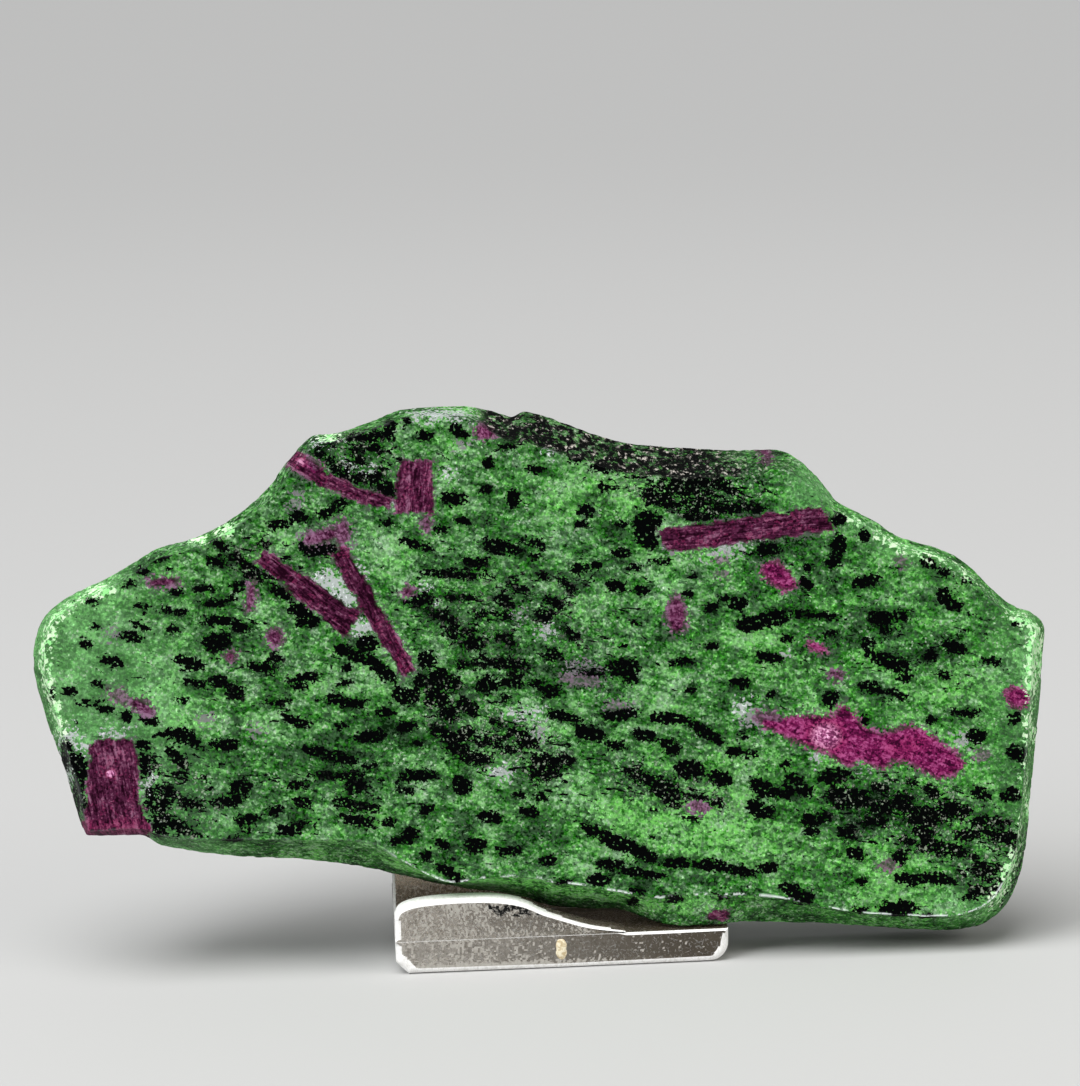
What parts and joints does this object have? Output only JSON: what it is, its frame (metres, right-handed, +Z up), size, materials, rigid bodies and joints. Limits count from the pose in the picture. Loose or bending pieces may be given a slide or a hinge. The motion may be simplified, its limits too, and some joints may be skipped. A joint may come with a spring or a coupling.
{
  "type": "ruby in zoisite slab on a stand",
  "caption": "Polished slab of ruby in zoisite with a worn natural rim, leaning back on a small clear acrylic display stand.",
  "frame": {"origin": "middle of the base plate's underside, where the stand rests on a shelf", "axes": "+Z up; +X to the right of someone who faces the polished side; the polished face looks towards -Y and leans back by 10 degrees"},
  "size_m": [0.1528, 0.0368, 0.0831],
  "materials": {
    "ruby_zoisite": "polished face, worn and broken rim, matt sawn back",
    "clear_acrylic": "clear sheet, scratched, with white ground edges"
  },
  "bodies": {
    "root": {"ruby_zoisite_slab": "ruby_zoisite", "stand_base": "clear_acrylic", "stand_front_lip": "clear_acrylic", "stand_back_rest": "clear_acrylic"}
  },
  "joints": []
}
